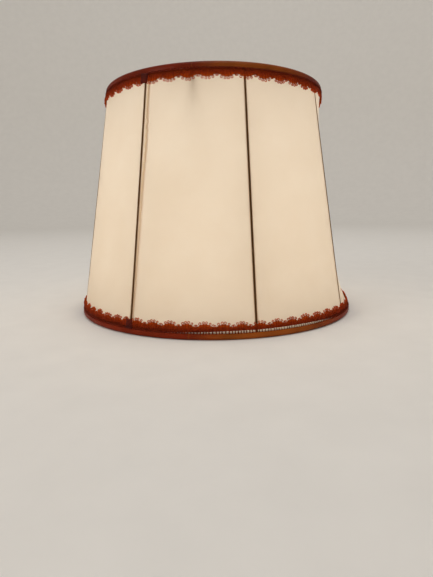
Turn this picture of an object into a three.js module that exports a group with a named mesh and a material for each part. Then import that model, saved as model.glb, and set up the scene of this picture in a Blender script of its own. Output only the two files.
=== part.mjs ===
// A lamp shade: two cloth halves stretched over a wire frame, with bindings, laces and a fitter.
// Millimetres, +Z up. The shade stands on its lower rim, centred on the origin.
// Azimuths are in degrees. 0 faces -Y, and they grow towards +X.
import * as THREE from "three";

// The frame
const BOTTOM_RING_RADIUS = 150;
const TOP_RING_RADIUS = 113;
const RING_SPACING = 230;
const STRUT_COUNT = 8;
const SEAM_AZIMUTH = -22.5;
const WIRE_DIAMETER = 3;
const STRUT_DIAMETER = 1.8;
const CLEARANCE = 0.3;

// The fitter: a washer that sits on the lamp holder, on arms from the top ring
const FITTER_DEPTH = 100;
const WASHER_HOLE_DIAMETER = 42;
const WASHER_DIAMETER = 60;
const WASHER_THICKNESS = 2;
const ARM_COUNT = 4;
const ARM_DROP = 6;
const ARM_FOOT = 9;
const ARM_BEND = 5;

// Tape, cloth and binding
const TAPE_THICKNESS = 0.4;
const TAPE_SLIT = 120;
const SEAM_TAPE_SLIT = 180;
const CLOTH_THICKNESS = 0.6;
const CLOTH_LIFT = 3;
const CLOTH_TAUTNESS = 7.2;
const BINDING_THICKNESS = 0.9;
const BINDING_REACH = 4.5;
const BINDING_LEG = 1;
const SEAM_LAP_THICKNESS = 0.4;
const SEAM_LAP_GAP = 0.7;
const SEAM_LAP_TOP_WIDTH = 2.6;
const SEAM_LAP_BOTTOM_WIDTH = 1.4;

// Lace: the last scallop is cut short where the two ends meet under a join
const LACE_THICKNESS = 1.2;
const LACE_TIP_HEIGHT = 11;
const LACE_TIP_GAP = 1;
const LACE_CUSP_HEIGHT = 8;
const TOP_SCALLOPS = 43.7;
const BOTTOM_SCALLOPS = 58.5;
const JOIN_WIDTH = 8;
const JOIN_THICKNESS = 0.8;

// How finely the curves are divided
const PANEL_STEPS = 8;
const CLOTH_ROWS = 10;
const SCALLOP_STEPS = 4;
const RING_SIDES = 6;
const WIRE_SIDES = 8;
const ARC_STEPS = 4;
const ARM_STEPS = 14;

const TURN = 360;
const PANEL = TURN / STRUT_COUNT;
const STATION = PANEL / PANEL_STEPS;
const radians = THREE.MathUtils.degToRad;
const mix = THREE.MathUtils.lerp;

const ringHeight = { bottom: BINDING_REACH, top: BINDING_REACH + RING_SPACING };
const ringInward = { bottom: 1, top: -1 };
const tapeReach = WIRE_DIAMETER / 2 + CLEARANCE + TAPE_THICKNESS;
const clothOffset = tapeReach + CLEARANCE;
const strutReach = STRUT_DIAMETER / 2 + CLEARANCE + TAPE_THICKNESS;
const strutOffset = clothOffset - (STRUT_DIAMETER / 2 + CLEARANCE) / Math.cos(Math.PI / STRUT_COUNT);
const laceOffset = clothOffset + CLOTH_THICKNESS + CLEARANCE;
const laceHeading = BINDING_LEG + CLEARANCE;
const seamTrim = CLEARANCE / 2;

// A point given by azimuth, radius and height.
function at(azimuth, radius, height) {
  const a = radians(azimuth);
  return new THREE.Vector3(radius * Math.sin(a), -radius * Math.cos(a), height);
}

// The angle of a length measured along the circle of this radius.
function degreesOf(length, radius) {
  return THREE.MathUtils.radToDeg(length / radius);
}

// The straight line from ring to ring that the struts follow.
function lineRadius(height) {
  const t = (height - ringHeight.bottom) / RING_SPACING;
  return mix(BOTTOM_RING_RADIUS, TOP_RING_RADIUS, t);
}

// How much of the rings' roundness is left at a height: all at the rings, almost none halfway.
function roundness(height) {
  const start = ringHeight.bottom + CLOTH_LIFT;
  const t = (height - start) / (RING_SPACING - 2 * CLOTH_LIFT);
  const fromMiddle = THREE.MathUtils.clamp(t, 0, 1) - 0.5;
  return Math.cosh(fromMiddle * CLOTH_TAUTNESS) / Math.cosh(CLOTH_TAUTNESS / 2);
}

// The cloth's inner face at one of the stations: round at the rings, drawn flat between struts.
function stationRadius(azimuth, height) {
  const level = THREE.MathUtils.clamp(height, ringHeight.bottom, ringHeight.top);
  const fromSeam = THREE.MathUtils.euclideanModulo(azimuth - SEAM_AZIMUTH, PANEL);
  const flat = Math.cos(radians(PANEL / 2)) / Math.cos(radians(fromSeam - PANEL / 2));
  return (lineRadius(level) + clothOffset) * mix(flat, 1, roundness(level));
}

// The cloth's inner face anywhere: straight from each station to the next.
function clothRadius(azimuth, height) {
  const index = Math.floor((azimuth - SEAM_AZIMUTH) / STATION + 1e-9);
  const from = SEAM_AZIMUTH + index * STATION;
  const r0 = stationRadius(from, height);
  const r1 = stationRadius(from + STATION, height);
  const near = Math.sin(radians(azimuth - from));
  const far = Math.sin(radians(from + STATION - azimuth));
  return (r0 * r1 * Math.sin(radians(STATION))) / (r0 * near + r1 * far);
}

// One closed body through cross-sections that each hold the same number of points.
// A capped body joins point k of each end section to its opposite, point n - 1 - k.
// Opposite faces are split along the same diagonal, so that a thin wall keeps its thickness.
function sweep(sections, isLoop) {
  const n = sections[0].length;
  const faces = [];
  const quad = (a, b, c, d) => faces.push(a, b, c, a, c, d);
  const spans = isLoop ? sections.length : sections.length - 1;
  for (let i = 0; i < spans; i++) {
    const here = i * n;
    const next = ((i + 1) % sections.length) * n;
    for (let k = 0; k < n; k++) {
      const up = (k + 1) % n;
      if (k < n / 2) quad(here + k, next + k, next + up, here + up);
      else quad(next + k, next + up, here + up, here + k);
    }
  }
  const last = (sections.length - 1) * n;
  for (let k = 0; !isLoop && k < n / 2 - 1; k++) {
    quad(k, k + 1, n - 2 - k, n - 1 - k);
    quad(last + n - 1 - k, last + n - 2 - k, last + k + 1, last + k);
  }
  const geometry = new THREE.BufferGeometry().setFromPoints(sections.flat());
  geometry.setIndex(faces);
  geometry.computeVertexNormals();
  return geometry;
}

// Evenly spaced values from first to last.
function spread(first, last, steps) {
  return Array.from({ length: steps + 1 }, (_, i) => mix(first, last, i / steps));
}

// Points on an ellipse about a centre in a radial plane, as [radius, height].
function arc(centre, across, high, angles) {
  return angles.map((angle) => [
    centre[0] + across * Math.cos(radians(angle)),
    centre[1] + high * Math.sin(radians(angle)),
  ]);
}

// A ring made by carrying a profile of [radius, height] points round the axis.
function ringOf(profile) {
  const azimuths = spread(SEAM_AZIMUTH, SEAM_AZIMUTH + TURN - STATION, STRUT_COUNT * PANEL_STEPS - 1);
  return sweep(azimuths.map((azimuth) => profile.map(([r, z]) => at(azimuth, r, z))), true);
}

function ringWire(radius, height) {
  const angles = spread(0, TURN - TURN / RING_SIDES, RING_SIDES - 1);
  return ringOf(arc([radius, height], WIRE_DIAMETER / 2, WIRE_DIAMETER / 2, angles));
}

// The angles of a tape's corners, in line with those of the wire inside it.
function tapeAngles(slit, from, sides) {
  const steps = Math.round(((TURN - slit) / TURN) * sides);
  return spread(from + slit / 2, from + TURN - slit / 2, steps);
}

// Tape wrapped round a ring wire, open along the side that faces the lamp.
function ringTape(radius, height) {
  const outer = tapeReach;
  const inner = tapeReach - TAPE_THICKNESS;
  const angles = tapeAngles(TAPE_SLIT, -TURN / 2, RING_SIDES);
  const centre = [radius, height];
  return ringOf([...arc(centre, outer, outer, angles), ...arc(centre, inner, inner, angles.reverse())]);
}

// One face of a binding's channel, as points [out from the ring's centre, towards the middle].
function channelFace(centre, across, high) {
  const legs = [-1, 1].map((side) => [centre + side * across, BINDING_LEG]);
  return [legs[0], ...arc([centre, 0], across, high, spread(TURN / 2, TURN, ARC_STEPS)), legs[1]];
}

// Tape folded over a ring and the cloth's edge: a channel that opens towards the shade's middle.
function binding(radius, end) {
  const outerLeg = laceOffset + BINDING_THICKNESS;
  const innerLeg = clothOffset + BINDING_THICKNESS;
  const across = (outerLeg + innerLeg) / 2;
  const centre = (outerLeg - innerLeg) / 2;
  const outside = channelFace(centre, across, BINDING_REACH);
  const inside = channelFace(centre, across - BINDING_THICKNESS, BINDING_REACH - BINDING_THICKNESS);
  const loop = [...outside, ...inside.reverse()];
  const inward = ringInward[end];
  const profile = loop.map(([away, along]) => {
    const height = ringHeight[end] + inward * along;
    const lean = along > 0 ? lineRadius(height) - radius : 0;
    return [radius + away + lean, height];
  });
  return ringOf(inward > 0 ? profile : profile.reverse());
}

// A body carried straight from ring to ring along one strut's line.
// The section is given by points [angle from outward, distance], clockwise seen from above.
function upright(azimuth, section, margin) {
  const heights = [ringHeight.bottom + margin, ringHeight.top - margin];
  const out = at(azimuth, 1, 0);
  const along = at(azimuth + 90, 1, 0);
  return sweep(
    heights.map((height) => {
      const centre = at(azimuth, lineRadius(height) + strutOffset, height);
      return section.map(([angle, distance]) =>
        centre
          .clone()
          .addScaledVector(out, distance * Math.cos(radians(angle)))
          .addScaledVector(along, distance * Math.sin(radians(angle))),
      );
    }),
    false,
  );
}

function strut(azimuth) {
  const angles = spread(TURN, TURN / WIRE_SIDES, WIRE_SIDES - 1);
  return upright(azimuth, angles.map((angle) => [angle, STRUT_DIAMETER / 2]), tapeReach + CLEARANCE);
}

// Tape round a seam's strut, open on the side that the cloth covers.
function seamTape(azimuth) {
  const angles = tapeAngles(SEAM_TAPE_SLIT, 0, WIRE_SIDES).reverse();
  const outer = angles.map((angle) => [angle, strutReach]);
  const inner = angles.map((angle) => [angle, strutReach - TAPE_THICKNESS]).reverse();
  return upright(azimuth, [...outer, ...inner], tapeReach + 2 * CLEARANCE);
}

// The heights of the cloth's rows, closer together near the rings where the cloth curves most.
function clothHeights() {
  const start = ringHeight.bottom + CLOTH_LIFT;
  const end = ringHeight.top - CLOTH_LIFT;
  const rows = spread(0, TURN / 2, CLOTH_ROWS).map((angle) =>
    mix(start, end, (1 - Math.cos(radians(angle))) / 2),
  );
  return [ringHeight.bottom, ...rows, ringHeight.top];
}

// Half of the cover, from the seam at this azimuth to the opposite one.
function coverHalf(seam) {
  const trim = degreesOf(seamTrim, TOP_RING_RADIUS);
  const azimuths = spread(seam, seam + TURN / 2, (STRUT_COUNT * PANEL_STEPS) / 2);
  azimuths[0] += trim;
  azimuths[azimuths.length - 1] -= trim;
  const heights = clothHeights();
  return sweep(
    azimuths.map((azimuth) => [
      ...heights.map((z) => at(azimuth, clothRadius(azimuth, z) + CLOTH_THICKNESS, z)),
      ...heights.map((z) => at(azimuth, clothRadius(azimuth, z), z)).reverse(),
    ]),
    false,
  );
}

// The other half's seam allowance: a strip inside the cloth beside the seam's strut.
function seamLap(seam) {
  const start = strutReach + CLEARANCE;
  const heights = clothHeights().slice(2, -2);
  const top = heights[heights.length - 1];
  return sweep(
    heights.map((z) => {
      const t = (z - heights[0]) / (top - heights[0]);
      const width = mix(SEAM_LAP_BOTTOM_WIDTH, SEAM_LAP_TOP_WIDTH, t);
      const near = seam + degreesOf(start, lineRadius(z));
      const far = seam + degreesOf(start + width, lineRadius(z));
      const corner = (azimuth, depth) => at(azimuth, clothRadius(azimuth, z) - depth, z);
      const innerDepth = SEAM_LAP_GAP + SEAM_LAP_THICKNESS;
      return [
        corner(far, SEAM_LAP_GAP),
        corner(near, SEAM_LAP_GAP),
        corner(near, innerDepth),
        corner(far, innerDepth),
      ];
    }),
    false,
  );
}

// The lace's inner face: beside the cloth while that is still round, then straight to where the tips touch it.
// Its tips stand off the cloth by a gap of their own, because it bridges the ridge over each strut.
function laceRadius(azimuth, end, reach) {
  const height = (along) => ringHeight[end] + ringInward[end] * along;
  const upright = lineRadius(height(Math.min(reach, CLOTH_LIFT))) + laceOffset;
  const tipReach = laceHeading + LACE_TIP_HEIGHT;
  const touching = clothRadius(azimuth, height(tipReach)) + CLOTH_THICKNESS + LACE_TIP_GAP;
  return mix(upright, touching, Math.max(0, reach - CLOTH_LIFT) / (tipReach - CLOTH_LIFT));
}

// One cross-section of a strip of lace, from the heading past its fold to the free edge.
function laceSection(azimuth, end, drop, lift, thickness) {
  const reaches = [laceHeading, CLOTH_LIFT, laceHeading + drop];
  const point = (reach, outset) =>
    at(azimuth, laceRadius(azimuth, end, reach) + outset, ringHeight[end] + ringInward[end] * reach);
  const outer = reaches.map((reach) => point(reach, lift + thickness));
  const inner = reaches.map((reach) => point(reach, lift)).reverse();
  const loop = [...outer, ...inner];
  return ringInward[end] > 0 ? loop : loop.reverse();
}

// Lace all the way round, with fan scallops towards the shade's middle.
function lace(radius, end, scallops) {
  const gap = degreesOf(seamTrim, radius);
  const pitch = (TURN - 2 * gap) / scallops;
  const steps = Math.round(scallops * SCALLOP_STEPS);
  return sweep(
    spread(0, scallops, steps).map((count) => {
      const rise = Math.sin(Math.PI * (count % 1));
      const drop = mix(LACE_CUSP_HEIGHT, LACE_TIP_HEIGHT, rise);
      return laceSection(SEAM_AZIMUTH + gap + count * pitch, end, drop, 0, LACE_THICKNESS);
    }),
    false,
  );
}

// The patch over the place where a lace's two ends meet.
function laceJoin(radius, end) {
  const half = degreesOf(JOIN_WIDTH / 2, radius);
  return sweep(
    spread(SEAM_AZIMUTH - half, SEAM_AZIMUTH + half, 2).map((azimuth) =>
      laceSection(azimuth, end, LACE_CUSP_HEIGHT, LACE_THICKNESS + CLEARANCE, JOIN_THICKNESS),
    ),
    false,
  );
}

function fitterWasher(height) {
  const [hole, rim] = [WASHER_HOLE_DIAMETER / 2, WASHER_DIAMETER / 2];
  const [low, high] = [height - WASHER_THICKNESS / 2, height + WASHER_THICKNESS / 2];
  return ringOf([[hole, low], [rim, low], [rim, high], [hole, high]]);
}

// A wire from under the top ring, bent inwards and down, then level up to the washer's rim.
function fitterArm(azimuth, washerHeight) {
  const start = new THREE.Vector2(TOP_RING_RADIUS, ringHeight.top - tapeReach - CLEARANCE);
  const knee = new THREE.Vector2(TOP_RING_RADIUS, start.y - ARM_DROP);
  const heel = new THREE.Vector2(WASHER_DIAMETER / 2 + ARM_FOOT, washerHeight);
  const toe = new THREE.Vector2(WASHER_DIAMETER / 2 + CLEARANCE, washerHeight);
  const inPlane = (p) => at(0, p.x, p.y);
  const towards = (from, to) => from.clone().add(to.clone().sub(from).setLength(ARM_BEND));
  const path = new THREE.CurvePath();
  const corners = [start, knee, heel, toe];
  let reached = start;
  for (const [before, corner, after] of [corners.slice(0, 3), corners.slice(1)]) {
    const [enter, leave] = [towards(corner, before), towards(corner, after)];
    path.add(new THREE.LineCurve3(inPlane(reached), inPlane(enter)));
    path.add(new THREE.QuadraticBezierCurve3(inPlane(enter), inPlane(corner), inPlane(leave)));
    reached = leave;
  }
  path.add(new THREE.LineCurve3(inPlane(reached), inPlane(toe)));
  const round = new THREE.Shape().absarc(0, 0, WIRE_DIAMETER / 2, 0, 2 * Math.PI);
  const options = { extrudePath: path, steps: ARM_STEPS, curveSegments: WIRE_SIDES };
  return new THREE.ExtrudeGeometry(round, options).rotateZ(radians(azimuth));
}

const finishes = {
  paint: { color: "#5e3c26", roughness: 0.4, metalness: 0.1 },
  cotton: { color: "#e4dac6", roughness: 0.95, metalness: 0 },
  cloth: { color: "#ebd9c4", roughness: 0.85, metalness: 0 },
  binding: { color: "#5a2b1b", roughness: 0.3, metalness: 0 },
  lace: { color: "#7a3216", roughness: 0.8, metalness: 0 },
  join: { color: "#4a2620", roughness: 0.8, metalness: 0 },
};

const shade = new THREE.Group();

function add(name, geometry, finish) {
  const mesh = new THREE.Mesh(geometry, new THREE.MeshStandardMaterial(finishes[finish]));
  mesh.name = name;
  shade.add(mesh);
}

const washerHeight = ringHeight.top - FITTER_DEPTH;
const rings = [
  ["bottom", BOTTOM_RING_RADIUS, BOTTOM_SCALLOPS],
  ["top", TOP_RING_RADIUS, TOP_SCALLOPS],
];
for (const [end, radius, scallops] of rings) {
  add(end + "_ring_wire", ringWire(radius, ringHeight[end]), "paint");
  add(end + "_ring_tape", ringTape(radius, ringHeight[end]), "cotton");
  add(end + "_binding", binding(radius, end), "binding");
  add(end + "_lace", lace(radius, end, scallops), "lace");
  add(end + "_lace_join", laceJoin(radius, end), "join");
}
for (let i = 0; i < STRUT_COUNT; i++) {
  add("strut_" + (i + 1), strut(SEAM_AZIMUTH + i * PANEL), "paint");
}
add("fitter_washer", fitterWasher(washerHeight), "paint");
for (let i = 0; i < ARM_COUNT; i++) {
  const azimuth = SEAM_AZIMUTH + PANEL / 2 + (i * TURN) / ARM_COUNT;
  add("fitter_arm_" + (i + 1), fitterArm(azimuth, washerHeight), "paint");
}
const seams = [
  ["front", SEAM_AZIMUTH],
  ["back", SEAM_AZIMUTH + TURN / 2],
];
for (const [side, azimuth] of seams) {
  add("cover_" + side + "_half", coverHalf(azimuth), "cloth");
  add(side + "_seam_tape", seamTape(azimuth), "cotton");
  add(side + "_seam_lap", seamLap(azimuth), "cloth");
}

export default shade;
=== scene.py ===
# The looks of a round lamp shade: cream cloth on a wire frame, with satin bindings and crocheted edging.
# Everything is in metres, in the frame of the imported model. An azimuth of 0 faces -Y and grows towards +X.

import math

import bpy
import numpy as np
from mathutils import Matrix, Vector


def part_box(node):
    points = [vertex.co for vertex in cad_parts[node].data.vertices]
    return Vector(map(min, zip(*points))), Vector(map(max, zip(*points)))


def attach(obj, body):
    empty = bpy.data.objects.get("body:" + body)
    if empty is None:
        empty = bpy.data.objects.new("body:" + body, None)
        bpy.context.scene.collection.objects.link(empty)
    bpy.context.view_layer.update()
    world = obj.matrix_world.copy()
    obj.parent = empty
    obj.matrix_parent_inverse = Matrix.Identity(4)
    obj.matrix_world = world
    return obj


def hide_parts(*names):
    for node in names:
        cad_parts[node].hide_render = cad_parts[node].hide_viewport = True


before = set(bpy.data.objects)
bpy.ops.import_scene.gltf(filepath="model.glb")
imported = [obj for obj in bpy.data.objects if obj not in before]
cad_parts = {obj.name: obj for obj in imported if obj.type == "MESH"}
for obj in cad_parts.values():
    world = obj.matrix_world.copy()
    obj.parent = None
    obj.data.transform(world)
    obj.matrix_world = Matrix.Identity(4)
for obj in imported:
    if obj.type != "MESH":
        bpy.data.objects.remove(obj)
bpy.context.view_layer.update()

MM = 0.001
SCATTER = np.random.default_rng(7)

# The wire frame.
WIRE_RADIUS = 1.5 * MM
STRUT_RADIUS = 1.0 * MM
STRUT_COUNT = 8
SEAM_AZIMUTH = math.radians(-22.5)
PANEL_ANGLE = 2 * math.pi / STRUT_COUNT
RING_RADIUS = {"bottom": 150 * MM, "top": 113 * MM}
RING_HEIGHT = {end: sum(corner[2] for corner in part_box(end + "_ring_wire")) / 2 for end in RING_RADIUS}
TOWARDS_MIDDLE = {"bottom": 1, "top": -1}
RING_SPACING = RING_HEIGHT["top"] - RING_HEIGHT["bottom"]
STRUT_OFFSET = 1.55 * MM
STRUT_MARGIN = 2.5 * MM
STRUT_CLOTH_GAP = 0.03 * MM

# The fitter: a washer on four arms that hang from the top ring.
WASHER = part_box("fitter_washer")
WASHER_RADIUS = WASHER[1][0]
WASHER_HEIGHT = (WASHER[0][2] + WASHER[1][2]) / 2
WASHER_HOLE_RADIUS = 21 * MM
WASHER_EDGE = 0.45 * MM
ARM_COUNT = 4
ARM_DROP = 6 * MM
ARM_FOOT = 9 * MM
ARM_GAP = 0.3 * MM
ARM_BEND = 5 * MM
WELD_SWELL, WELD_REACH = 0.45, 2.4 * MM
START_TAPER, START_REACH = 0.3, 0.5 * MM

# Cotton tape, wound in laps round the rings and the two seam struts, and open along a slit.
TAPE_LAP = 7.5 * MM
TAPE_EDGE_SHARE = 0.12
TAPE_STEP_SHARE = 0.4
RING_TAPE_INNER, RING_TAPE_OUTER, RING_TAPE_SLIT = 1.8 * MM, 2.2 * MM, math.radians(120)
SEAM_TAPE_INNER, SEAM_TAPE_OUTER, SEAM_TAPE_SLIT = 1.03 * MM, 1.22 * MM, math.radians(190)

# The cloth, stretched flat from strut to strut and round at the rings.
CLOTH_OFFSET = 2.25 * MM
CLOTH_THICKNESS = 0.25 * MM
CLOTH_LIFT = 3 * MM
CLOTH_TAUTNESS = 7.2
HALF_PANELS = STRUT_COUNT // 2
PANEL_COLUMNS = 60
COLUMN_GATHER = 0.75
CLOTH_ROWS = 90
HALF_GAP = 0.15 * MM
CLOTH_UV_RADIUS = 134 * MM
# How far the painted strut shadow spreads from each strut.
STRUT_SHADOW_REACH = 2 * MM

# The raw edge inside each seam, measured from the strut; low is at the bottom ring, and it widens upward.
LAP_MARGIN = 4 * MM
LAP_EDGE_LOW, LAP_EDGE_RISE = 2.6 * MM, 1.9 * MM
LAP_WIDTH_LOW, LAP_WIDTH_RISE = 1.2 * MM, 1.0 * MM
LAP_DEPTH = 0.85 * MM
LAP_HALF_THICKNESS = 0.12 * MM
LAP_TOOTH_PITCH, LAP_TOOTH = 8.5 * MM, 1.6 * MM
FRAYED_MIDDLE, FRAYED_REACH = 0.73, 0.12

# The binding round each ring.
BINDING_THICKNESS = 0.9 * MM
BINDING_CENTRE = 0.45 * MM
BINDING_HALF_WIDTH = 3.4 * MM
BINDING_REACH = 4.05 * MM
BINDING_LEG = 1.5 * MM
BINDING_STRAIGHT = 1.4 * MM
BINDING_RIPPLE = 0.10 * MM
BINDING_STEPS = 480

# The lace: its heading starts beside the binding, its fans point to the middle of the shade.
LACE_HEADING = 1.3 * MM
LACE_HEADING_OFFSET = 3.4 * MM
LACE_TIP_LIFT = 2.0 * MM
LACE_TIP_HEIGHT = 11 * MM
LACE_CUSP_HEIGHT = 7.2 * MM
SCALLOPS = {"bottom": 58.5, "top": 43.7}
GROUND_REACH = 0.72
RIBS = 6
RIB_SHARE = (np.arange(RIBS) + 0.5) / RIBS
FOOT_SHARE = 0.5 + (RIB_SHARE - 0.5) * 0.7
FOOT_DROP = 2.6 * MM
PICOT_HEIGHT = 1.4 * MM
PICOT_HALF_WIDTH = 0.95 * MM
PICOT_THREAD = 0.42 * MM
CORD_PITCH = 2.2 * MM
NET_DROP = 4.6 * MM
NET_ROWS = 3
BARS = 6
JOIN_HALF_WIDTH = 4.0 * MM
JOIN_HEIGHT = 8.8 * MM
JOIN_LIFT = 1.15 * MM


def lerp(start, end, share):
    return start + (end - start) * share


def at(azimuth, radius, height):
    """Points at an azimuth, a distance from the axis and a height."""
    x, y, z = np.broadcast_arrays(radius * np.sin(azimuth), -radius * np.cos(azimuth), height)
    return np.stack([x, y, z], axis=-1)


def line_radius(height):
    """Radius of the straight cone through both rings at a height."""
    share = (height - RING_HEIGHT["bottom"]) / RING_SPACING
    return lerp(RING_RADIUS["bottom"], RING_RADIUS["top"], share)


def roundness(height):
    """How much of the rings' roundness the cloth keeps: the cosh of the distance from mid height, as a
    share of its value beside the rings."""
    share = np.clip((height - RING_HEIGHT["bottom"] - CLOTH_LIFT) / (RING_SPACING - 2 * CLOTH_LIFT), 0, 1)
    return np.cosh((share - 0.5) * CLOTH_TAUTNESS) / math.cosh(CLOTH_TAUTNESS / 2)


def cloth_radius(azimuth, height):
    """Radius of the cloth's inner face. Between two struts it is the chord cos(half panel)/cos(angle
    from the panel's middle), swelling back to the full circle at the rings."""
    held = np.clip(height, RING_HEIGHT["bottom"], RING_HEIGHT["top"])
    from_middle = (azimuth - SEAM_AZIMUTH) % PANEL_ANGLE - PANEL_ANGLE / 2
    flat = math.cos(PANEL_ANGLE / 2) / np.cos(from_middle)
    return (line_radius(held) + CLOTH_OFFSET) * lerp(flat, 1, roundness(height))


# ---------------------------------------------------------------- mesh helpers


def grid_faces(rows, columns, wrap_rows=False, wrap_columns=False):
    """Quads of a grid of points numbered row by row; a wrapped side joins its last line to its first."""
    row, column = np.meshgrid(
        np.arange(rows if wrap_rows else rows - 1),
        np.arange(columns if wrap_columns else columns - 1),
        indexing="ij",
    )
    next_row, next_column = (row + 1) % rows, (column + 1) % columns
    corners = [(row, column), (row, next_column), (next_row, next_column), (next_row, column)]
    return np.stack([r * columns + c for r, c in corners], axis=-1).reshape(-1, 4)


def ladder(sides):
    """Quads that close a ring of an even number of points, rung k joining points k and sides-1-k."""
    rung = np.arange(sides // 2 - 1)
    return np.stack([rung, sides - 1 - rung, sides - 2 - rung, rung + 1], axis=-1)


def sweep_faces(sections, sides, is_loop):
    """Quads of one swept solid: a skin round its sections, and a cap at each end unless it is a loop."""
    skin = grid_faces(sections, sides, is_loop, True)
    if is_loop:
        return skin
    cap = ladder(sides)
    return np.concatenate([skin, cap, cap[:, ::-1] + (sections - 1) * sides])


def many(faces, copies, points_each):
    """The same faces for several copies, whose points follow one another."""
    steps = np.arange(copies)[:, None, None] * points_each
    return (faces[None] + steps).reshape(-1, 4)


def facing_out(points, faces):
    """The faces, turned round if the signed volume under them is negative."""
    a, b, c, d = (points[faces[:, k]] for k in range(4))
    volume = np.einsum("ij,ij->", a, np.cross(b, c)) + np.einsum("ij,ij->", a, np.cross(c, d))
    return faces[:, ::-1] if volume < 0 else faces


def there_and_back(first, second):
    """A closed loop across the columns: along the first values, then back along the second."""
    return np.concatenate([first, second[..., ::-1]], axis=-1)


def make_piece(name, parts, material, replaced):
    """One mesh object from several closed solids, each (points, faces, uv or None)."""
    all_points, all_faces, all_uv, count = [], [], [], 0
    for points, faces, uv in parts:
        points = points.reshape(-1, 3)
        all_points.append(points)
        all_faces.append(facing_out(points, faces) + count)
        all_uv.append(np.zeros((len(points), 2)) if uv is None else uv.reshape(-1, 2))
        count += len(points)
    points, faces, uv = map(np.concatenate, (all_points, all_faces, all_uv))
    mesh = bpy.data.meshes.new(name)
    mesh.from_pydata(points, [], faces)
    mesh.uv_layers.new(name="cloth_uv").uv.foreach_set(
        "vector", uv[faces.ravel()].astype(np.float32).ravel()
    )
    mesh.shade_smooth()
    mesh.materials.append(material)
    mesh.update()
    piece = bpy.data.objects.new(name, mesh)
    bpy.context.scene.collection.objects.link(piece)
    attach(piece, "root")
    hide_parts(replaced)
    return piece


def circles(path, out, side, radius, turn):
    """Points round a path: at each turn from out towards side, that radius away."""
    return path[:, None] + radius * (
        np.cos(turn)[None, :, None] * out[:, None] + np.sin(turn)[None, :, None] * side[:, None]
    )


def turns(sides):
    """The angles of a circle's points, half a step on from 0."""
    return 2 * np.pi * (np.arange(sides) + 0.5) / sides


def round_tube(path, out, side, radius, sides, is_loop=False):
    """A tube round a path of points: circles of the given radius in the plane of out and side."""
    radius = np.broadcast_to(radius, path.shape[:1])[:, None, None]
    return circles(path, out, side, radius, turns(sides)), sweep_faces(len(path), sides, is_loop), None


def pressed_strut(path, out, side, radius, roof, slope, sides=22):
    """A strut pressed to the cloth: circles whose outer side is cut off by the two slopes of the cloth's
    ridge, out = roof - slope times the distance to the side."""
    sideways = np.broadcast_to(radius * np.sin(turns(sides)), (len(path), sides))
    outward = np.minimum(radius * np.cos(turns(sides))[None], roof - slope[:, None] * np.abs(sideways))
    points = path[:, None] + outward[..., None] * out[:, None] + sideways[..., None] * side[:, None]
    return points, sweep_faces(len(path), sides, False), None


def wrapped_tape(path, out, side, along, slit, inner, outer, is_loop):
    """A tape wound round a wire: a shell from one edge of the slit round to the other. Its outer face
    drops from one lap's edge to the next by a share of its thickness, along a helix."""
    around = np.linspace(slit / 2, 2 * np.pi - slit / 2, 20)
    lap = (along[:, None] / TAPE_LAP - around[None] / (2 * np.pi)) % 1
    past_edge = 1 - (lap - TAPE_EDGE_SHARE) / (1 - TAPE_EDGE_SHARE)
    step = np.where(lap < TAPE_EDGE_SHARE, lap / TAPE_EDGE_SHARE, past_edge)
    radius_out = outer - TAPE_STEP_SHARE * (outer - inner) * (1 - step)
    radius = there_and_back(np.full_like(radius_out, inner), radius_out)[..., None]
    turn = there_and_back(around, around)
    uv = np.stack(np.broadcast_arrays(along[:, None], (turn * outer)[None]), axis=-1)
    return circles(path, out, side, radius, turn), sweep_faces(len(path), len(turn), is_loop), uv


# ---------------------------------------------------------------- materials


def new_material(name):
    """A material with an empty node tree."""
    material = bpy.data.materials.new(name)
    material.use_nodes = True
    material.node_tree.nodes.clear()
    return material.node_tree, material


def node(tree, kind, links=(), **settings):
    """A node with its settings and links; a setting that is no property of the node fills a socket."""
    made = tree.nodes.new("ShaderNode" + kind)
    for name, value in settings.items():
        if hasattr(made, name):
            setattr(made, name, value)
        else:
            made.inputs[name.replace("_", " ")].default_value = value
    for socket, source in links:
        tree.links.new(source, made.inputs[socket])
    return made


def linear(red, green, blue):
    """A colour given as 0 to 255 display values, as the linear light that shaders use."""
    share = np.array([red, green, blue]) / 255
    light = np.where(share <= 0.04045, share / 12.92, ((share + 0.055) / 1.055) ** 2.4)
    return (*light.tolist(), 1.0)


def coordinate(tree, kind, axis=None):
    """Object or UV coordinates, or one axis of them."""
    place = node(tree, "TexCoord").outputs[kind]
    return node(tree, "SeparateXYZ", [(0, place)]).outputs[axis] if axis else place


def noise(tree, scale, detail, kind="Object", stretch=(1, 1, 1)):
    """Noise with about that many waves a metre, after the axes are stretched."""
    place = node(tree, "Mapping", [("Vector", coordinate(tree, kind))], Scale=stretch).outputs["Vector"]
    return node(tree, "TexNoise", [("Vector", place)], Scale=scale, Detail=detail).outputs["Fac"]


def weave(tree, count):
    """A plain weave on the UV map: two families of threads, that many a metre each way."""
    threads = [
        node(
            tree, "TexWave", [("Vector", coordinate(tree, "UV"))], bands_direction=direction,
            Scale=count * math.pi / 10, Distortion=0.6, Detail=1.0, Detail_Scale=2.0,
        ).outputs["Fac"]
        for direction in ("X", "Y")
    ]
    return node(tree, "Math", enumerate(threads), operation="MAXIMUM").outputs[0]


def with_number(tree, operation, value, number):
    """The outcome of one maths operation on a value and a constant number."""
    made = node(tree, "Math", [(0, value)], operation=operation)
    made.inputs[1].default_value = number
    return made.outputs[0]


def ramp(tree, factor, *stops):
    """A colour ramp from a factor, with stops of (position, colour)."""
    made = node(tree, "ValToRGB", [("Fac", factor)])
    elements = made.color_ramp.elements
    elements[0].position, elements[0].color = stops[0]
    elements[1].position, elements[1].color = stops[-1]
    for position, colour in stops[1:-1]:
        elements.new(position).color = colour
    return made.outputs["Color"]


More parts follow.
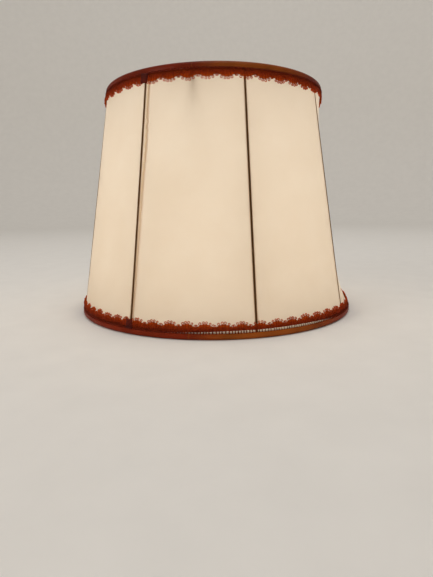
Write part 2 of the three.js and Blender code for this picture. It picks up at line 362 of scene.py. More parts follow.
def multiplied(tree, colour, tone):
    """One colour multiplied by another."""
    made = node(tree, "Mix", data_type="RGBA", blend_type="MULTIPLY", Factor=1.0)
    tree.links.new(colour, made.inputs[6])
    tree.links.new(tone, made.inputs[7])
    return made.outputs[2]


def bump(tree, height, distance, strength=1.0):
    return node(tree, "Bump", [("Height", height)], Strength=strength, Distance=distance).outputs["Normal"]


def face_shader(tree, colour, normal, **settings):
    """The part of a surface that light comes back from."""
    return node(tree, "BsdfPrincipled", [("Base Color", colour), ("Normal", normal)], **settings)


def finish_material(tree, material, face, through=None, share=0.0):
    """The surface: the face alone, or mixed with that share of light passing through in a colour."""
    surface = face
    if through is not None:
        glow = node(tree, "BsdfTranslucent", [("Color", through)])
        surface = node(tree, "MixShader", [(1, face.outputs[0]), (2, glow.outputs[0])], Fac=share)
    node(tree, "OutputMaterial", [("Surface", surface.outputs[0])])
    return material


def painted_strut_shadow(tree):
    """A painted shadow along the struts, in brown, that darkens the cloth: the UV map's girth, folded into
    the distance from the nearest one.
    """
    from_seam = with_number(tree, "SUBTRACT", coordinate(tree, "UV", "X"), SEAM_AZIMUTH * CLOTH_UV_RADIUS)
    from_strut = with_number(tree, "PINGPONG", from_seam, PANEL_ANGLE * CLOTH_UV_RADIUS / 2)
    return ramp(
        tree, with_number(tree, "MULTIPLY", from_strut, 1 / STRUT_SHADOW_REACH),
        (0.0, (0.36, 0.20, 0.09, 1)), (0.32, (0.42, 0.25, 0.12, 1)),
        (0.60, (1, 0.90, 0.80, 1)), (1.0, (1, 1, 1, 1)),
    )


def cover_cloth():
    """Cream cloth: part of the light comes back from its fine weave, most passes through it."""
    tree, material = new_material("cover_cloth")
    cream = ramp(tree, noise(tree, 24, 4.0), (0.3, linear(246, 239, 228)), (0.7, linear(249, 243, 233)))
    # The cream is darkened along each strut by painted shadow, in brown.
    colour = multiplied(tree, cream, painted_strut_shadow(tree))
    threads = bump(tree, weave(tree, 2200), 0.06 * MM, 0.5)
    face = face_shader(tree, colour, threads, Roughness=0.85, Sheen_Weight=0.25, Sheen_Roughness=0.4)
    return finish_material(tree, material, face, colour, 0.86)


def frame_paint():
    """Satin brown paint on wire, with shallow runs and specks."""
    tree, material = new_material("frame_paint")
    colour = ramp(tree, noise(tree, 60, 4.0), (0.35, linear(84, 50, 30)), (0.65, linear(104, 66, 40)))
    specks = bump(tree, noise(tree, 420, 2.0), 0.12 * MM)
    face = face_shader(
        tree, colour, specks, Roughness=0.38, Specular_IOR_Level=0.5, Coat_Weight=0.3, Coat_Roughness=0.25
    )
    return finish_material(tree, material, face)


def cotton_tape():
    """Plain cotton tape: a visible weave, matte."""
    tree, material = new_material("cotton_tape")
    colour = ramp(tree, noise(tree, 260, 3.0), (0.3, linear(214, 199, 172)), (0.7, linear(234, 222, 200)))
    threads = bump(tree, weave(tree, 1600), 0.12 * MM)
    face = face_shader(tree, colour, threads, Roughness=0.92, Sheen_Weight=0.3, Sheen_Roughness=0.5)
    return finish_material(tree, material, face)


def binding_satin():
    """Satin tape: red-brown, with two golden stretches round the rim that are painted glow and highlight,
    painted shade that darkens the top ring, worn patches and fine creases along it."""
    tree, material = new_material("binding_satin")
    maroon, painted_gold_glow = linear(132, 42, 14), linear(160, 84, 28)
    # Red-brown dye, with golden stretches of painted glow and highlight round the rim.
    dye_and_painted_light = ramp(
        tree, coordinate(tree, "UV", "X"),
        (0.0, maroon), (0.035, painted_gold_glow), (0.10, painted_gold_glow), (0.17, maroon), (0.40, painted_gold_glow), (0.58, maroon),
    )
    worn = ramp(tree, noise(tree, 40, 3.0), (0.3, (0.75, 0.72, 0.7, 1)), (0.7, (1.2, 1.15, 1.1, 1)))
    # Painted shade: the binding on the top ring is made darker.
    painted_top_shade = ramp(tree, coordinate(tree, "Object", "Z"), (0.05, (1, 1, 1, 1)), (0.2, (0.72, 0.68, 0.62, 1)))
    colour = multiplied(tree, multiplied(tree, dye_and_painted_light, worn), painted_top_shade)
    creases = bump(tree, noise(tree, 1.0, 2.0, "UV", (160, 700, 1)), 0.5 * MM, 0.6)
    face = face_shader(
        tree, colour, creases, Roughness=0.5, Specular_IOR_Level=0.06, Coat_Weight=0.06, Coat_Roughness=0.08
    )
    return finish_material(tree, material, face)


def crochet(name, heading_shade, rust, tip_glow, through, share):
    """Crocheted cotton: twisted threads, with painted shade that darkens it near the dense heading and a
    painted glow that brightens the tips, which let more light through."""
    tree, material = new_material(name)
    drop = coordinate(tree, "UV", "Y")
    # Base colour over the thread's dye: painted shade near the heading, painted glow towards the tips.
    dye_and_painted_light = ramp(tree, drop, (0.0, heading_shade), (0.20, heading_shade), (0.30, rust), (0.95, tip_glow))
    speckle = ramp(tree, noise(tree, 900, 3.0), (0.3, (0.38, 0.34, 0.32, 1)), (0.7, (1.35, 1.25, 1.15, 1)))
    twist = bump(tree, noise(tree, 1500, 2.0), 0.3 * MM)
    face = face_shader(tree, multiplied(tree, dye_and_painted_light, speckle), twist, Roughness=0.75, Specular_IOR_Level=0.2)
    dense = tuple(0.58 * channel for channel in through[:3]) + (1.0,)
    return finish_material(tree, material, face, ramp(tree, drop, (0.2, dense), (0.75, through)), share)


def raw_edge():
    """The lap inside a seam: cream cloth that turns into a tan frayed edge across its width."""
    tree, material = new_material("raw_edge")
    colour = ramp(
        tree, coordinate(tree, "UV", "X"),
        (0.0, linear(255, 246, 226)), (0.52, linear(255, 248, 232)), (0.58, linear(206, 156, 84)),
        (1.0, linear(190, 142, 72)),
    )
    face = face_shader(tree, colour, bump(tree, noise(tree, 1100, 2.0), 0.3 * MM), Roughness=0.9)
    return finish_material(tree, material, face, colour, 0.96)


def plain_matte(name, colour):
    """The floor and backdrop: one pale matte tone with a faint grain."""
    tree, material = new_material(name)
    shaded = tuple(0.97 * channel for channel in colour[:3]) + (1.0,)
    grain = ramp(tree, noise(tree, 30, 3.0), (0.3, colour), (0.7, shaded))
    face = node(tree, "BsdfPrincipled", [("Base Color", grain)], Roughness=0.9, Specular_IOR_Level=0.2)
    return finish_material(tree, material, face)


# ---------------------------------------------------------------- camera

CAMERA_AZIMUTH = math.radians(9)
CAMERA_DISTANCE = 0.5214
CAMERA_HEIGHT = 0.1142
CAMERA_YAW = math.radians(0.05)
CAMERA_PITCH = math.radians(10.47)
CAMERA_ROLL = math.radians(0.72)
CAMERA_LENS = 27.33


def place_camera():
    """The camera beside the shade, looking slightly down, its right side tipped a little lower."""
    data = bpy.data.cameras.new("studio_camera")
    data.sensor_width = 36
    data.lens = CAMERA_LENS
    data.clip_start = 0.01
    camera = bpy.data.objects.new("studio_camera", data)
    bpy.context.scene.collection.objects.link(camera)
    level = Vector((-math.sin(CAMERA_AZIMUTH), math.cos(CAMERA_AZIMUTH), 0))
    level_right = Vector((math.cos(CAMERA_AZIMUTH), math.sin(CAMERA_AZIMUTH), 0))
    ahead = level * math.cos(CAMERA_YAW) + level_right * math.sin(CAMERA_YAW)
    right = level_right * math.cos(CAMERA_YAW) - level * math.sin(CAMERA_YAW)
    above = Vector((0, 0, 1))
    down_ahead = ahead * math.cos(CAMERA_PITCH) - above * math.sin(CAMERA_PITCH)
    up = ahead * math.sin(CAMERA_PITCH) + above * math.cos(CAMERA_PITCH)
    tipped_right = right * math.cos(CAMERA_ROLL) - up * math.sin(CAMERA_ROLL)
    tipped_up = right * math.sin(CAMERA_ROLL) + up * math.cos(CAMERA_ROLL)
    turn = Matrix((tipped_right, tipped_up, -down_ahead)).transposed().to_4x4()
    spot = Vector(at(CAMERA_AZIMUTH, CAMERA_DISTANCE, CAMERA_HEIGHT).tolist())
    camera.matrix_world = Matrix.Translation(spot) @ turn
    bpy.context.scene.camera = camera


place_camera()

CLOTH = cover_cloth()
PAINT = frame_paint()
TAPE = cotton_tape()
SATIN = binding_satin()
LACE = crochet(
    "lace_cotton", linear(132, 40, 8), linear(172, 58, 10), linear(198, 80, 14), linear(255, 150, 60), 0.36
)
LACE_GROUND = crochet(
    "lace_net", linear(116, 32, 8), linear(126, 38, 8), linear(172, 62, 14), linear(255, 164, 72), 0.72
)
JOIN = crochet(
    "lace_join_cotton", linear(92, 26, 14), linear(100, 30, 16), linear(120, 40, 20),
    linear(200, 90, 50), 0.2,
)
RAW_EDGE = raw_edge()

# ---------------------------------------------------------------- wire frame


def ring_path(end, steps=360):
    """A ring's circle of points, its outward and upward directions, and the distance along it."""
    azimuth = 2 * np.pi * np.arange(steps) / steps
    out = at(azimuth, 1.0, 0.0)
    up = np.broadcast_to([0.0, 0.0, 1.0], out.shape)
    return at(azimuth, RING_RADIUS[end], RING_HEIGHT[end]), out, up, azimuth * RING_RADIUS[end]


def strut_path(number, steps):
    """The straight line of one strut from ring to ring, two directions square to it, and the distance
    along it."""
    azimuth = np.array(SEAM_AZIMUTH + number * PANEL_ANGLE)
    height = np.linspace(RING_HEIGHT["bottom"] + STRUT_MARGIN, RING_HEIGHT["top"] - STRUT_MARGIN, steps)
    path = at(azimuth, line_radius(height) + STRUT_OFFSET, height)
    ahead = (path[-1] - path[0]) / np.linalg.norm(path[-1] - path[0])
    side = at(azimuth + np.pi / 2, 1.0, 0.0)
    out = np.cross(side, ahead)
    along = np.linalg.norm(path - path[0], axis=1)
    return path, np.broadcast_to(out, path.shape), np.broadcast_to(side, path.shape), along


def strut(number):
    """One strut, pressed against the ridge that the cloth makes over it: flat panels meet there at an
    angle that opens out as the cloth turns round towards the rings."""
    path, out, side, _ = strut_path(number, 48)
    slope = math.tan(PANEL_ANGLE / 2) * (1 - roundness(path[:, 2]))
    roof = CLOTH_OFFSET - STRUT_OFFSET - STRUT_CLOTH_GAP
    return pressed_strut(path, out, side, STRUT_RADIUS, roof, slope)


def ring_wrap(end):
    """The tape on one ring, with its slit on the outside."""
    path, out, up, along = ring_path(end)
    inward = up * TOWARDS_MIDDLE[end]
    return wrapped_tape(path, out, inward, along, RING_TAPE_SLIT, RING_TAPE_INNER, RING_TAPE_OUTER, True)


def seam_wrap(number):
    """The tape on one seam strut, with its slit towards the cloth."""
    path, out, side, along = strut_path(number, 320)
    return wrapped_tape(path, out, side, along, SEAM_TAPE_SLIT, SEAM_TAPE_INNER, SEAM_TAPE_OUTER, False)


for end in RING_RADIUS:
    path, out, up, _ = ring_path(end)
    ring = round_tube(path, out, up, WIRE_RADIUS, 14, True)
    make_piece(end + "_ring_smooth", [ring], PAINT, end + "_ring_wire")
    make_piece(end + "_ring_wrap", [ring_wrap(end)], TAPE, end + "_ring_tape")

for number in range(STRUT_COUNT):
    name = str(number + 1)
    make_piece("strut_smooth_" + name, [strut(number)], PAINT, "strut_" + name)

for label, number in (("front", 0), ("back", STRUT_COUNT // 2)):
    make_piece(label + "_seam_wrap", [seam_wrap(number)], TAPE, label + "_seam_tape")


def arm_corners():
    """Radius and height of an arm's corners: down from the top ring, inward, and level to the washer."""
    start = RING_HEIGHT["top"] - STRUT_MARGIN
    return np.array([
        [RING_RADIUS["top"], start],
        [RING_RADIUS["top"], start - ARM_DROP],
        [WASHER_RADIUS + ARM_FOOT, WASHER_HEIGHT],
        [WASHER_RADIUS + ARM_GAP, WASHER_HEIGHT],
    ])


def bent_wire(corners, bend, arc_steps=10, straight_steps=14):
    """A wire path in (radius, height): straight runs joined by arcs of the bend radius at the inner
    corners."""
    points = [corners[0]]
    for before, corner, after in zip(corners[:-2], corners[1:-1], corners[2:]):
        back = (before - corner) / np.linalg.norm(before - corner)
        on = (after - corner) / np.linalg.norm(after - corner)
        half = math.acos(np.clip(back @ on, -1, 1)) / 2
        reach = bend / math.tan(half)
        middle = corner + (back + on) / np.linalg.norm(back + on) * bend / math.sin(half)
        first, last = corner + back * reach - middle, corner + on * reach - middle
        share = np.linspace(0, 1, arc_steps)[:, None]
        sweep = math.acos(np.clip(first @ last / bend**2, -1, 1))
        arc = (np.sin((1 - share) * sweep) * first + np.sin(share * sweep) * last) / math.sin(sweep)
        points.extend(np.linspace(points[-1], middle + first, straight_steps)[1:-1])
        points.extend(middle + arc)
    points.extend(np.linspace(points[-1], corners[-1], straight_steps)[1:])
    return np.array(points)


def fitter_arm(azimuth):
    """One arm: the wire's radius swells at its toe, by the weld, and narrows a little at its start, each
    as exp(-(distance / reach) squared)."""
    profile = bent_wire(arm_corners(), ARM_BEND)
    path = at(azimuth, profile[:, 0], profile[:, 1])
    ahead = np.gradient(path, axis=0)
    ahead /= np.linalg.norm(ahead, axis=1)[:, None]
    side = np.broadcast_to(at(np.array(azimuth + np.pi / 2), 1.0, 0.0), path.shape)
    from_toe = np.linalg.norm(profile - profile[-1], axis=1)
    from_start = np.linalg.norm(profile - profile[0], axis=1)
    weld = WELD_SWELL * np.exp(-((from_toe / WELD_REACH) ** 2))
    taper = START_TAPER * np.exp(-((from_start / START_REACH) ** 2))
    return round_tube(path, np.cross(side, ahead), side, WIRE_RADIUS * (1 + weld - taper), 16)


for number in range(ARM_COUNT):
    name = str(number + 1)
    arm = fitter_arm(number * 2 * math.pi / ARM_COUNT)
    make_piece("fitter_arm_smooth_" + name, [arm], PAINT, "fitter_arm_" + name)


def washer_body(inner, outer, low, high, edge, steps=192):
    """A flat ring turned about the axis: a rectangle with corners rounded to the edge radius."""
    turn = np.linspace(0, np.pi / 2, 6)
    corners = [
        (outer - edge, high - edge, 0), (inner + edge, high - edge, 1),
        (inner + edge, low + edge, 2), (outer - edge, low + edge, 3),
    ]
    radius = np.concatenate([x + edge * np.cos(turn + k * np.pi / 2) for x, z, k in corners])
    height = np.concatenate([z + edge * np.sin(turn + k * np.pi / 2) for x, z, k in corners])
    azimuth = 2 * np.pi * np.arange(steps) / steps
    points = at(azimuth[:, None], radius[None], height[None])
    return points, sweep_faces(steps, len(radius), True), None


washer = washer_body(WASHER_HOLE_RADIUS, WASHER_RADIUS, WASHER[0][2], WASHER[1][2], WASHER_EDGE)
make_piece("fitter_washer_smooth", [washer], PAINT, "fitter_washer")

# ---------------------------------------------------------------- cloth


def cloth_half(start):
    """Half of the cover, a closed thin shell of two faces from the bottom ring to the top one. Its columns
    stand closer beside the struts, at share - gather sin(2 pi share)/2 pi of each panel."""
    share = np.arange(PANEL_COLUMNS) / PANEL_COLUMNS
    gathered = share - COLUMN_GATHER * np.sin(2 * np.pi * share) / (2 * np.pi)
    column = np.append((np.arange(HALF_PANELS)[:, None] + gathered[None]).ravel(), HALF_PANELS)
    azimuth = start + column * PANEL_ANGLE
    azimuth[0] += HALF_GAP / RING_RADIUS["bottom"]
    azimuth[-1] -= HALF_GAP / RING_RADIUS["bottom"]
    height = np.linspace(RING_HEIGHT["bottom"], RING_HEIGHT["top"], CLOTH_ROWS)
    inner = cloth_radius(azimuth[:, None], height[None])
    radius = there_and_back(inner, inner + CLOTH_THICKNESS)
    height = there_and_back(height, height)
    points = at(azimuth[:, None], radius, height[None])
    uv = np.stack(np.broadcast_arrays(azimuth[:, None] * CLOTH_UV_RADIUS, height[None]), axis=-1)
    return points, sweep_faces(len(azimuth), len(height), False), uv


HALVES = {"front": SEAM_AZIMUTH, "back": SEAM_AZIMUTH + np.pi}
covers = {
    label: make_piece(
        "cover_" + label + "_cloth", [cloth_half(start)], CLOTH, "cover_" + label + "_half"
    )
    for label, start in HALVES.items()
}


def seam_lap(start, seed):
    """The raw edge of the cloth inside a seam: a thin strip beside the strut that ends in a frayed bead.
    Its edge strays by two random lines, and bears teeth, (1 - |saw|) to the power 1.5, in a patch."""
    scatter = np.random.default_rng(seed)
    height = np.linspace(RING_HEIGHT["bottom"] + LAP_MARGIN, RING_HEIGHT["top"] - LAP_MARGIN, 420)
    share = (height - height[0]) / (height[-1] - height[0])
    fray = np.interp(share, np.linspace(0, 1, 90), scatter.uniform(-0.35, 0.35, 90))
    fine = np.interp(share, np.linspace(0, 1, 210), scatter.uniform(-0.2, 0.2, 210))
    patch = np.clip(1 - np.abs(share - FRAYED_MIDDLE) / FRAYED_REACH, 0, 1) ** 0.5
    saw = np.abs((height / LAP_TOOTH_PITCH) % 1 * 2 - 1)
    ragged = (0.7 * fray + fine) * MM + LAP_TOOTH * (1 - saw) ** 1.5 * patch
    edge = LAP_EDGE_LOW + LAP_EDGE_RISE * share + ragged
    near = edge - (LAP_WIDTH_LOW + LAP_WIDTH_RISE * share)
    bead = (0.34 + 0.16 * patch + 0.1 * fray) * MM
    across = np.array([0, 0.2, 0.4, 0.5, 0.75, 1.0])
    swell = np.sqrt(np.clip(1 - ((across - 0.75) / 0.26) ** 2, 0.05, 1))
    half = np.where(across[None] < 0.45, LAP_HALF_THICKNESS, bead[:, None] * swell[None])
    spot = near[:, None] + (edge - near)[:, None] * across[None]
    level = height[:, None]
    azimuth = start + there_and_back(spot, spot) / line_radius(level)
    radius = cloth_radius(azimuth, level) - LAP_DEPTH + there_and_back(-half, half)
    points = at(azimuth, radius, level)
    width_share = there_and_back(across, across)
    uv = np.stack(np.broadcast_arrays(width_share[None], share[:, None]), axis=-1)
    return points, sweep_faces(len(height), len(width_share), False), uv


LAP_SEEDS = {"front": 16, "back": 15}
laps = {
    label: make_piece(
        label + "_seam_raw_edge", [seam_lap(start, LAP_SEEDS[label])], RAW_EDGE,
        label + "_seam_lap",
    )
    for label, start in HALVES.items()
}

# ---------------------------------------------------------------- bindings


def binding_channel(end):
    """A tape folded over a ring: a U of two legs and a half ellipse, given its thickness on both sides.
    Its sides draw in by slow ripples, the sum of three sines of the azimuth."""
    turn = np.linspace(0, np.pi, 25)
    leg = np.linspace(BINDING_LEG, -BINDING_STRAIGHT, 5)[:-1]
    depth = BINDING_REACH - BINDING_STRAIGHT
    side = np.full(len(leg), BINDING_HALF_WIDTH)
    offset = np.concatenate([side, BINDING_HALF_WIDTH * np.cos(turn), -side]) + BINDING_CENTRE
    reach = np.concatenate([leg, -BINDING_STRAIGHT - depth * np.sin(turn), leg[::-1]])
    ahead = np.stack([np.gradient(offset), np.gradient(reach)], axis=-1)
    ahead /= np.linalg.norm(ahead, axis=1)[:, None]
    half = np.full(len(offset), BINDING_THICKNESS / 2)
    half[[0, -1]] *= 0.55
    normal = np.stack([-ahead[:, 1], ahead[:, 0]], axis=-1) * half[:, None]
    middle = np.stack([offset, reach], axis=-1)
    profile = np.concatenate([middle + normal, (middle - normal)[::-1]])
    azimuth = 2 * np.pi * np.arange(BINDING_STEPS) / BINDING_STEPS
    waves = np.sin(17 * azimuth + 0.6) + np.sin(41 * azimuth) + 0.8 * np.sin(97 * azimuth + 2)
    past_leg = np.clip(-profile[:, 1] / BINDING_REACH, 0, 1)
    swell = np.where(profile[:, 0] > 0, 1, -1) * (1 - past_leg)
    height = RING_HEIGHT[end] + TOWARDS_MIDDLE[end] * profile[:, 1]
    ripple = np.abs(BINDING_RIPPLE * waves)[:, None] * swell[None]
    radius = (line_radius(height) + profile[:, 0])[None] - ripple
    points = at(azimuth[:, None], radius, height[None])
    place = np.arange(len(offset)) * 0.6 * MM
    run = there_and_back(place, place)
    uv = np.stack(np.broadcast_arrays(azimuth[:, None] * RING_RADIUS["bottom"], run[None]), axis=-1)
    return points, sweep_faces(BINDING_STEPS, len(profile), True), uv


bindings = {
    end: make_piece(end + "_binding_satin", [binding_channel(end)], SATIN, end + "_binding")
    for end in RING_RADIUS
}

# ---------------------------------------------------------------- lace


def lace_rim_radius(end):
    """The radius at which distances along the lace are measured."""
    middle = RING_HEIGHT[end] + TOWARDS_MIDDLE[end] * (LACE_HEADING + LACE_TIP_HEIGHT / 2)
    return line_radius(middle) + LACE_HEADING_OFFSET


def lace_point(end, rim, drop, lift):
    """A point of the lace: rim is the distance along it from the seam, drop the distance from its heading
    towards the fans' tips, and lift the distance outward from its inner face, which is a straight slope
    from just outside the cloth at the heading to just outside the cloth at the tips."""
    inward = TOWARDS_MIDDLE[end]
    head_height = RING_HEIGHT[end] + inward * LACE_HEADING
    tip_height = head_height + inward * LACE_TIP_HEIGHT
    azimuth = SEAM_AZIMUTH + rim / lace_rim_radius(end)
    head = line_radius(head_height) + LACE_HEADING_OFFSET
    tip = cloth_radius(azimuth, tip_height) + LACE_TIP_LIFT
    return at(azimuth, lerp(head, tip, drop / LACE_TIP_HEIGHT) + lift, head_height + inward * drop)


def thread(end, rim, drop, lift, radius, sides, is_loop=False):
    """Round threads laid on the lace: each row of rim, drop and lift is one thread's path, and its
    section is a circle square to the path."""
    rim, drop, lift, radius = np.broadcast_arrays(rim, drop, lift, radius)
    if is_loop:
        ahead_rim, ahead_drop = (np.roll(way, -1, 1) - np.roll(way, 1, 1) for way in (rim, drop))
    else:
        ahead_rim, ahead_drop = (np.gradient(way, axis=1) for way in (rim, drop))
    length = np.hypot(ahead_rim, ahead_drop)
    across = radius[..., None] * np.cos(turns(sides))
    points = lace_point(
        end,
        rim[..., None] - across * (ahead_drop / length)[..., None],
        drop[..., None] + across * (ahead_rim / length)[..., None],
        lift[..., None] + radius[..., None] * np.sin(turns(sides)),
    )
    uv = np.stack(
        np.broadcast_arrays(rim[..., None] + 0 * across, drop[..., None] / LACE_TIP_HEIGHT), axis=-1
    )
    return points, many(sweep_faces(rim.shape[1], sides, is_loop), len(rim), rim.shape[1] * sides), uv


def scallop_edges(end):
    """Where each scallop of the lace starts, with a small unevenness; the last is cut short at the seam."""
    count = SCALLOPS[end]
    starts = np.arange(math.ceil(count) + 1, dtype=float)
    starts[1:-1] += SCATTER.uniform(-0.03, 0.03, len(starts) - 2)
    starts[-1] = count
    return starts * 2 * np.pi * lace_rim_radius(end) / count


def scallop_drop(share, tip):
    """How far the lace's free edge lies from its heading: |sin| between the cusps and the tip."""
    return lerp(LACE_CUSP_HEIGHT, tip, np.abs(np.sin(np.pi * share)))


def hump(azimuth, middle, half_width):
    """1 about a middle azimuth, falling to 0 past the half width, as exp of minus the fourth power."""
    away = (azimuth - math.radians(middle) + np.pi) % (2 * np.pi) - np.pi
    return np.exp(-((away / math.radians(half_width)) ** 4))


def heading_gap(end, rim):
    """The slit between the binding and the lace, which opens where the lace was sewn on loosely."""
    azimuth = SEAM_AZIMUTH + rim / lace_rim_radius(end)
    if end == "top":
        return (0.45 + 0.25 * hump(azimuth, 200, 30)) * MM
    return (0.45 + 2.1 * hump(azimuth, 27, 27) + 0.8 * hump(azimuth, 205, 32)) * MM


def lace_ground(end, edges, tips):
    """The dense ground of the lace: a thin band from the heading to the feet of the fans, with pleats that
    deepen towards its free edge as a sine of the distance along it."""
    share = np.arange(14) / 14
    rim = np.append((edges[:-1, None] + np.diff(edges)[:, None] * share).ravel(), edges[-1])
    free_edge = np.append(scallop_drop(share[None], tips[:, None]).ravel(), LACE_CUSP_HEIGHT) * GROUND_REACH
    level = np.linspace(0, 1, 6)
    drop = lerp(heading_gap(end, rim)[:, None], free_edge[:, None], level[None])
    pleat = 0.12 * MM * np.sin(2 * np.pi * rim / (2.4 * MM))[:, None] * level[None]
    lift = there_and_back(0.1 * MM + np.maximum(pleat, 0), 0.5 * MM + pleat)
    drop = there_and_back(drop, drop)
    points = lace_point(end, rim[:, None], drop, lift)
    uv = np.stack(np.broadcast_arrays(rim[:, None], drop / LACE_TIP_HEIGHT), axis=-1)
    return points, sweep_faces(len(rim), drop.shape[1], False), uv


def fan_ribs(end, edges, rib_end, end_drop):
    """Ribs that fan out from each scallop's foot to its edge, thicker towards their ends."""
    along = np.linspace(0, 1, 6)
    reach = lerp(FOOT_SHARE[None, :, None], rib_end[..., None], along**0.85)
    rim = edges[:-1, None, None] + np.diff(edges)[:, None, None] * reach
    drop = lerp(FOOT_DROP, end_drop[..., None], along)
    lift = (0.66 + 0.30 * np.sin(np.pi * along)) * MM
    shape = (rib_end.size, len(along))
    radius = (0.44 + 0.24 * along) * MM * SCATTER.uniform(0.85, 1.15, (rib_end.size, 1))
    return thread(end, rim.reshape(shape), drop.reshape(shape), lift, radius, 4)


def tie_arc(end, edges, tips, inset, wave, radius):
    """A thread that ties the ribs: it follows the scallops at an inset, in a small zigzag."""
    count = len(tips)
    share = np.arange(14 * count + 1) / 14
    rim = np.interp(share, np.arange(count + 1), edges)
    tip = np.append(np.repeat(tips, 14), tips[-1])
    zigzag = 1 - 2 * (np.arange(len(share)) % 2)
    drop = scallop_drop(share, tip) - inset + wave * zigzag
    return thread(end, rim[None], drop[None], 0.62 * MM, radius, 4)


def picots(end, edges, rib_end, end_drop):
    """A loop of thread at each rib's end: an ellipse that leans the way the rib does."""
    start, width = edges[:-1, None], np.diff(edges)[:, None]
    turn = 2 * np.pi * np.arange(9) / 9
    lean = np.arctan2((rib_end - FOOT_SHARE[None]) * width, end_drop - FOOT_DROP)
    size = SCATTER.uniform(0.86, 1.1, (*rib_end.shape, 1))
    along = size * (PICOT_HEIGHT - PICOT_THREAD) * np.cos(turn)
    across = size * PICOT_HALF_WIDTH * np.sin(turn)
    sine, cosine = np.sin(lean)[..., None], np.cos(lean)[..., None]
    middle_rim = (start + width * rib_end)[..., None] + 0.9 * PICOT_HEIGHT * sine
    middle_drop = end_drop[..., None] + PICOT_HEIGHT * cosine
    shape = (rib_end.size, len(turn))
    rim = (middle_rim + along * sine + across * cosine).reshape(shape)
    drop = (middle_drop + along * cosine - across * sine).reshape(shape)
    return thread(end, rim, drop, 0.6 * MM, PICOT_THREAD, 4, True)


def heading_cord(end, edges, ply):
    """One ply of the two that twist round each other along the heading: a helix of 0.2 mm radius."""
    rim = np.linspace(edges[0], edges[-1], (len(edges) - 1) * 16)
    phase = 2 * np.pi * rim / CORD_PITCH + ply * np.pi
    drop = heading_gap(end, rim) + 0.35 * MM + 0.2 * MM * np.cos(phase)
    lift = 0.7 * MM + 0.2 * MM * np.sin(phase)
    return thread(end, rim[None], drop[None], lift[None], 0.4 * MM, 5)


def net_row(end, edges, row):
    """One zigzag thread of the net over the ground; rows next to each other turn opposite ways."""
    share = np.arange((len(edges) - 1) * 12 + 1) / 12
    rim = np.interp(share, np.arange(len(edges)), edges)
    zigzag = 0.5 * MM * (1 - 2 * (np.arange(len(share)) % 2)) * (1 - 2 * (row % 2))
    drop = lerp(heading_gap(end, rim), NET_DROP, (row + 1) / (NET_ROWS + 0.6)) + zigzag
    return thread(end, rim[None], drop[None], 0.6 * MM, 0.3 * MM, 4)


def heading_bars(end, edges):
    """Short bars from the binding to the heading cord, thick at mid length, slim where the slit is open."""
    count = len(edges) - 1
    bar_share = (np.arange(BARS) + 0.5) / BARS
    spot = bar_share + SCATTER.uniform(-0.02, 0.02, (count, BARS))
    rim = (edges[:-1, None] + np.diff(edges)[:, None] * spot).reshape(-1, 1)
    along = np.linspace(0, 1, 4)
    drop = lerp(-0.45 * MM, heading_gap(end, rim) + 0.45 * MM, along)
    lean = SCATTER.uniform(-0.15, 0.15, rim.shape) * MM
    slim = 1 - 0.62 * hump(SEAM_AZIMUTH + rim / lace_rim_radius(end), 40, 19)
    swell = (0.42 + 0.22 * np.sin(np.pi * along)) * MM
    radius = swell * slim * SCATTER.uniform(0.85, 1.12, rim.shape)
    return thread(end, rim + lean * along, drop, 0.62 * MM, radius, 6)


def lace_strip(end):
    """The whole lace of one ring, as its threads and its ground."""
    edges = scallop_edges(end)
    count = len(edges) - 1
    tips = LACE_TIP_HEIGHT * (1 + SCATTER.uniform(-0.06, 0.0, count))
    rib_end = RIB_SHARE[None] + SCATTER.uniform(-0.014, 0.014, (count, RIBS))
    end_drop = scallop_drop(rib_end, tips[:, None]) - 1.95 * PICOT_HEIGHT
    threads = [
        fan_ribs(end, edges, rib_end, end_drop),
        tie_arc(end, edges, tips, 2.0 * PICOT_HEIGHT, 0.12 * MM, 0.40 * MM),
        tie_arc(end, edges, tips, 3.3 * PICOT_HEIGHT, 0.2 * MM, 0.30 * MM),
        picots(end, edges, rib_end, end_drop),
        *(heading_cord(end, edges, ply) for ply in (0, 1)),
        *(net_row(end, edges, row) for row in range(NET_ROWS)),
        heading_bars(end, edges),
    ]
    return threads, [lace_ground(end, edges, tips)]


laces, grounds = {}, {}
for end in RING_RADIUS:
    threads, ground = lace_strip(end)
    laces[end] = make_piece(end + "_lace_crochet", threads, LACE, end + "_lace")
    grounds[end] = make_piece(end + "_lace_ground", ground, LACE_GROUND, end + "_lace")


def join_patch(end):
    """The patch over the lace's two ends: a small pad with rounded edges and a knotted face, whose bumps
    are the product of two sines."""
    across, level = np.linspace(-1, 1, 25), np.linspace(0, 1, 25)
    side_edge = np.clip(1 - np.abs(across) ** 6, 0, 1)[:, None]
    end_edge = np.clip(1 - np.abs(2 * level - 1) ** 8, 0, 1)[None]
    knots = np.abs(np.sin(across * 7.0)[:, None] * np.sin(level * 15.0)[None])
    thick = (0.12 + side_edge * end_edge * (0.75 + 0.5 * knots)) * MM
    rim = (across * JOIN_HALF_WIDTH)[:, None] * (1 - 0.12 * level[None])
    drop = np.broadcast_to(level[None] * JOIN_HEIGHT, rim.shape)
    rim, drop = there_and_back(rim, rim), there_and_back(drop, drop)
    lift = JOIN_LIFT + there_and_back(0 * thick, thick)
    points = lace_point(end, rim, drop, lift)
    uv = np.stack(np.broadcast_arrays(rim, drop / LACE_TIP_HEIGHT), axis=-1)
    return points, sweep_faces(len(across), drop.shape[1], False), uv


joins = {
    end: make_piece(end + "_lace_join_knots", [join_patch(end)], JOIN, end + "_lace_join")
    for end in RING_RADIUS
}

# ---------------------------------------------------------------- floor, backdrop and lights

FLOOR_RADIUS = 2.3
FLOOR_CURVE = 0.9
WALL_HEIGHT = 3.6


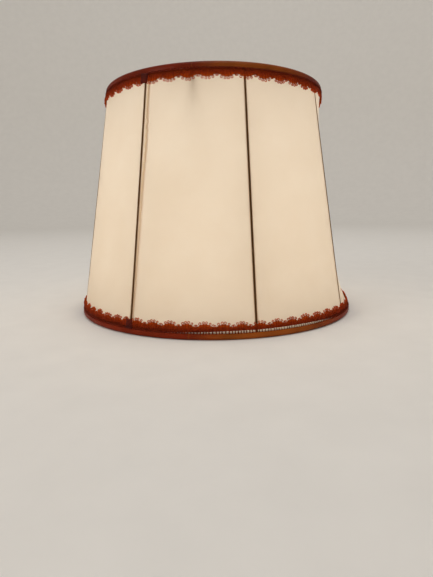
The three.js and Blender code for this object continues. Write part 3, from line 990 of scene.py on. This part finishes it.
def seamless_backdrop():
    """A round pale floor that curves up into a wall on every side: a flat disc, a quarter circle and a
    straight wall, turned about the axis."""
    turn = np.linspace(0, np.pi / 2, 20)
    wall = FLOOR_RADIUS + FLOOR_CURVE
    radius = np.concatenate([[0.0], FLOOR_RADIUS + FLOOR_CURVE * np.sin(turn), [wall]])
    height = np.concatenate([[0.0], FLOOR_CURVE * (1 - np.cos(turn)), [WALL_HEIGHT]])
    azimuth = 2 * np.pi * np.arange(96) / 96
    points = at(azimuth[:, None], radius[None], height[None]).reshape(-1, 3)
    mesh = bpy.data.meshes.new("studio_floor")
    mesh.from_pydata(points, [], grid_faces(len(azimuth), len(radius), True))
    mesh.shade_smooth()
    mesh.materials.append(plain_matte("studio_floor", linear(240, 237, 232)))
    floor = bpy.data.objects.new("studio_floor", mesh)
    bpy.context.scene.collection.objects.link(floor)


seamless_backdrop()


def add_light(name, data, spot, power, colour):
    """A light at a spot, unseen by the camera."""
    data.energy, data.color = power, colour
    light = bpy.data.objects.new(name, data)
    light.location = spot
    light.visible_camera = False
    bpy.context.scene.collection.objects.link(light)
    return light


def lamp(name, height, power, size):
    """A soft round lamp on the shade's axis."""
    data = bpy.data.lights.new(name, "POINT")
    data.shadow_soft_size = size
    add_light(name, data, (0, 0, height), power, (1.0, 0.96, 0.925))


def softbox(name, spot, aim, size, power, colour):
    """A square studio light at a spot, facing a point."""
    data = bpy.data.lights.new(name, "AREA")
    data.size = size
    light = add_light(name, data, spot, power, colour)
    light.rotation_euler = (Vector(aim) - Vector(spot)).to_track_quat("-Z", "Y").to_euler()


lamp("lamp_bulb", 0.188, 0.240, 0.042)
lamp("lamp_fill", 0.052, 0.205, 0.028)
softbox("studio_key", (-1.2, -1.2, 0.9), (0, 0, 0.1), 0.7, 4.5, (1.0, 0.96, 0.92))
softbox("studio_top", (0.2, -0.5, 2.6), (0, -0.2, 0.0), 1.8, 20, (1.0, 0.98, 0.96))
softbox("studio_wall", (0, 0.6, 2.8), (0, 3.1, 0.8), 1.6, 14, (1.0, 0.98, 0.96))

world = bpy.data.worlds.new("studio_air")
bpy.context.scene.world = world
world.use_nodes = True
air = world.node_tree.nodes["Background"]
air.inputs["Color"].default_value = (1.0, 0.98, 0.95, 1.0)
air.inputs["Strength"].default_value = 0.3
bpy.context.scene.view_settings.view_transform = "Standard"
